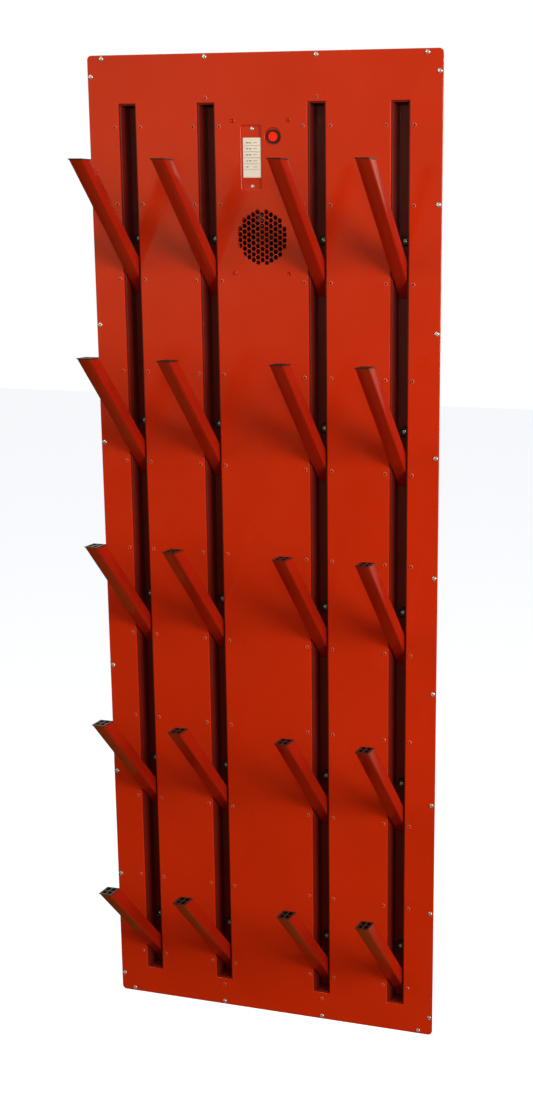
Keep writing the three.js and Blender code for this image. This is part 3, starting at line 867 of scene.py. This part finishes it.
class BOOT_DRYER_OT_rear(bpy.types.Operator):
    """Blind rivets along the air box's corner seams and stiffening beads across its back"""

    bl_idname = "boot_dryer.rear"
    bl_label = "Rear box details"

    seam_inset, rivet_margin, rivet_rows = 11 * MM, 60 * MM, 12
    bead_length, bead_width, bead_rise = 500 * MM, 14 * MM, 1.6 * MM
    bead_margin, bead_rows = 160 * MM, 9

    def execute(self, context):
        low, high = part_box("rear_box")
        radii = np.array([2, 2.3, 4, 4.8, 4.8, 2.4]) * MM
        rises = np.array([0.6, 1, 1.1, 0.5, 0, 0]) * MM
        vertices, faces = turned(radii, rises, 20)
        faces = [face[::-1] for face in faces]
        heights = np.linspace(low.z + self.rivet_margin, high.z - self.rivet_margin,
                              self.rivet_rows)
        x, y, z = vertices.T
        parts = []
        for side in (-1, 1):
            form = np.stack([side * z, -side * y, x], -1)
            edge = high.x if side > 0 else low.x
            seam = [(edge, high.y - self.seam_inset, height) for height in heights]
            parts.append((seam, form))
        backs = [(side * (high.x - self.seam_inset), high.y, height) for side in (-1, 1)
                 for height in heights]
        parts.append((backs, np.stack([x, z, -y], -1)))
        everything, all_faces, start = [], [], 0
        for places, form in parts:
            spread, spread_faces = copies(form, faces, places)
            everything.append(spread)
            all_faces += [[i + start for i in face] for face in spread_faces]
            start += len(spread)
        rivets = put_mesh("rear_rivets", np.concatenate(everything), all_faces, FINISH["zinc"],
                          sharp=40)
        levels = np.linspace(low.z + self.bead_margin, high.z - self.bead_margin, self.bead_rows)
        places = [(0, high.y, z) for z in levels]
        form, faces = self.bead(self.bead_length, self.bead_width, self.bead_rise)
        vertices, faces = copies(form, faces, places)
        beads = put_mesh("rear_beads", vertices, faces, FINISH["galvanised"], sharp=60)
        return {"FINISHED"}

    def bead(self, length, width, rise):
        """A stiffening bead pressed out along X: its height is a squared cosine across, times a
        rounded fall to almost nothing at both ends, over a flat underside."""
        rows, columns = 41, 13
        along = np.sin(np.linspace(-math.pi / 2, math.pi / 2, rows))
        across = np.linspace(-1, 1, columns)
        narrow = np.sqrt(np.clip(1 - np.abs(along) ** 16, 0.001, 1))
        x = np.broadcast_to((along * length / 2)[:, None], (rows, columns))
        z = narrow[:, None] * across[None, :] * width / 2
        y = rise * narrow[:, None] * np.cos(across * math.pi / 2)[None, :] ** 2
        top = np.stack([x, y, z], -1).reshape(-1, 3)
        under = np.stack([x, np.full_like(z, -0.2 * MM), z], -1).reshape(-1, 3)
        sheet = grid_faces(rows, columns, wrap_columns=False)
        count = len(top)
        rim = np.concatenate([np.arange(columns), np.arange(1, rows) * columns + columns - 1,
                              count - 1 - np.arange(1, columns),
                              np.arange(rows - 2, 0, -1) * columns])
        after = np.roll(rim, -1)
        wall = np.stack([rim, rim + count, after + count, after], -1)
        faces = [*sheet.tolist(), *(sheet[:, ::-1] + count).tolist(), *wall.tolist()]
        return np.concatenate([top, under]), faces


# ---- stage ------------------------------------------------------------------------------------
class BOOT_DRYER_OT_stage(bpy.types.Operator):
    """Pale floor, soft studio light and camera"""

    bl_idname = "boot_dryer.stage"
    bl_label = "Stage"

    floor_reach = 14
    # each light: its name, the setting that holds its power, its place, its aim and its size
    lights = (("key_light", "key_power", (3.6, -2.1, 1.9), (0, 0, 0.8), 1.8),
              ("fill_light", "fill_power", (-1.5, -2.2, 3.2), (0, 0, 0.9), 1.4),
              ("flash_light", "flash_power", (1.25, -3.0, 1.95), (0, 0, 0.9), 0.2))
    camera_place, camera_turn = (1.1695, -2.8425, 1.5028), (75.196, -0.476, 17.429)
    camera_shift = (-0.1332, 0.1099)

    # the room's colour by the upward part of the direction: a wooden floor below, dark
    # furniture, a warm white wall at eye level and a dim ceiling
    room_colours = ((-0.99, "#9A6A34"), (-0.8, "#7E4E1C"), (-0.45, "#6E4416"), (-0.22, "#3A2A1C"),
                    (-0.1, "#5A4630"), (0.0, "#FFE9B4"), (0.12, "#F4DCA6"), (0.35, "#7A6A50"),
                    (0.99, "#5C5040"))

    def execute(self, context):
        scene, settings = context.scene, context.scene.dryer_stage
        scene.view_settings.view_transform = "Standard"
        white = linear(settings.floor_white)
        material, _, _ = new_finish("pale_floor", Roughness=0.9, Base_Color=white,
                                    Emission_Color=white, Emission_Strength=0.78,
                                    Specular_IOR_Level=0.0)
        span = (-self.floor_reach, self.floor_reach)
        floor = self.plane("floor", material, span, span, sheet_low.z - settings.floor_drop)
        floor.visible_diffuse = False
        floor.visible_glossy = False
        self.room(scene, settings)
        for name, power, place, aim, size in self.lights:
            self.lamp(scene, name, getattr(settings, power), place, aim, size)
        camera = bpy.data.cameras.new("camera")
        camera.lens = settings.lens
        camera.shift_x, camera.shift_y = self.camera_shift
        view = bpy.data.objects.new("camera", camera)
        view.location = self.camera_place
        view.rotation_euler = [math.radians(angle) for angle in self.camera_turn]
        scene.collection.objects.link(view)
        scene.camera = view
        return {"FINISHED"}

    def room(self, scene, settings):
        """A studio with a white backdrop. What the dryer sees of it is a warm, uneven room: light
        at eye level, dark below that, lighter again at the floor and behind the dryer."""
        world = bpy.data.worlds.new("studio")
        world.use_nodes = True
        tree = world.node_tree
        way = add_node(tree, "ShaderNodeTexCoord").outputs["Generated"]
        split = add_node(tree, "ShaderNodeSeparateXYZ", {"Vector": way})
        rise = add_node(tree, "ShaderNodeMapRange", {"Value": split.outputs["Z"]}, From_Min=-1.0)
        levels = add_node(tree, "ShaderNodeValToRGB", {"Fac": rise.outputs["Result"]})
        ramp = levels.color_ramp
        for height, colour in self.room_colours:
            stop = ramp.elements.new((height + 1) / 2)
            stop.color = linear(colour)
        ramp.elements.remove(ramp.elements[0])
        ramp.elements.remove(ramp.elements[-1])
        patches = add_node(tree, "ShaderNodeTexNoise", {"Vector": way}, Scale=2.2, Detail=2.0)
        uneven = add_node(tree, "ShaderNodeMapRange", {"Value": patches.outputs["Fac"]},
                          From_Min=0.35, From_Max=0.65, To_Min=0.35 * settings.room_level,
                          To_Max=1.4 * settings.room_level)
        behind = add_node(tree, "ShaderNodeMapRange", {"Value": split.outputs["Y"]},
                          From_Min=0.0, From_Max=0.5, To_Min=0.0, To_Max=settings.room_back)
        level = add_node(tree, "ShaderNodeMapRange", {"Value": split.outputs["Z"]},
                         From_Min=-0.5, From_Max=-0.1)
        glow_level = add_node(tree, "ShaderNodeMath", operation="MULTIPLY")
        tree.links.new(behind.outputs["Result"], glow_level.inputs[0])
        tree.links.new(level.outputs["Result"], glow_level.inputs[1])
        dim = tree.nodes["Background"]
        tree.links.new(levels.outputs["Color"], dim.inputs["Color"])
        tree.links.new(uneven.outputs["Result"], dim.inputs["Strength"])
        glow = add_node(tree, "ShaderNodeBackground", {"Strength": glow_level.outputs["Value"]},
                        Color=linear("#FFFFFF"))
        whole = add_node(tree, "ShaderNodeAddShader", {0: dim.outputs["Background"],
                                                       1: glow.outputs["Background"]})
        backdrop = add_node(tree, "ShaderNodeBackground", Color=linear("#FFFFFF"), Strength=1.0)
        seen = add_node(tree, "ShaderNodeLightPath").outputs["Is Camera Ray"]
        mix = add_node(tree, "ShaderNodeMixShader", {0: seen, 1: whole.outputs["Shader"],
                                                     2: backdrop.outputs["Background"]})
        tree.links.new(mix.outputs["Shader"], tree.nodes["World Output"].inputs["Surface"])
        scene.world = world

    def plane(self, name, material, span_x, span_y, level):
        """A flat stage plane from its four corners."""
        corners = [(x, y, level) for y in span_y for x in span_x]
        mesh = bpy.data.meshes.new(name)
        mesh.from_pydata(corners, [], [(0, 1, 3, 2)])
        mesh.materials.append(material)
        plane = bpy.data.objects.new(name, mesh)
        bpy.context.scene.collection.objects.link(plane)
        return plane

    def lamp(self, scene, name, power, place, aim, size):
        """A square area light aimed at a point."""
        light = bpy.data.lights.new(name, "AREA")
        light.energy, light.size = power, size
        lamp = bpy.data.objects.new(name, light)
        lamp.location = place
        lamp.rotation_euler = (Vector(aim) - Vector(place)).to_track_quat("-Z", "Y").to_euler()
        scene.collection.objects.link(lamp)


# ---- panel and start --------------------------------------------------------------------------
class BOOT_DRYER_PT_tools(bpy.types.Panel):
    """Lists the steps that make the dryer"""

    bl_idname = "BOOT_DRYER_PT_tools"
    bl_label = "Boot Dryer"
    bl_space_type = "VIEW_3D"
    bl_region_type = "UI"
    bl_category = "Boot Dryer"

    def draw(self, context):
        for step in OPERATORS:
            self.layout.operator(step.bl_idname)


SETTINGS = {"dryer_finish": DryerFinishSettings, "dryer_shape": DryerShapeSettings,
            "dryer_stage": DryerStageSettings}
OPERATORS = (BOOT_DRYER_OT_sheets, BOOT_DRYER_OT_pegs, BOOT_DRYER_OT_bumpers,
             BOOT_DRYER_OT_screws, BOOT_DRYER_OT_controls, BOOT_DRYER_OT_fan_guard,
             BOOT_DRYER_OT_rear, BOOT_DRYER_OT_stage)


def register():
    for name, group in SETTINGS.items():
        bpy.utils.register_class(group)
        setattr(bpy.types.Scene, name, bpy.props.PointerProperty(type=group))
    for kind in (*OPERATORS, BOOT_DRYER_PT_tools):
        bpy.utils.register_class(kind)


def unregister():
    for kind in (BOOT_DRYER_PT_tools, *reversed(OPERATORS)):
        bpy.utils.unregister_class(kind)
    for name, group in SETTINGS.items():
        delattr(bpy.types.Scene, name)
        bpy.utils.unregister_class(group)


def main():
    """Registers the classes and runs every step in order."""
    register()
    make_finishes(bpy.context.scene.dryer_finish)
    finish_cad_nodes()
    bpy.ops.boot_dryer.sheets()
    bpy.ops.boot_dryer.pegs()
    bpy.ops.boot_dryer.bumpers()
    bpy.ops.boot_dryer.screws()
    bpy.ops.boot_dryer.controls()
    bpy.ops.boot_dryer.fan_guard()
    bpy.ops.boot_dryer.rear()
    bpy.ops.boot_dryer.stage()


if __name__ == "__main__":
    main()
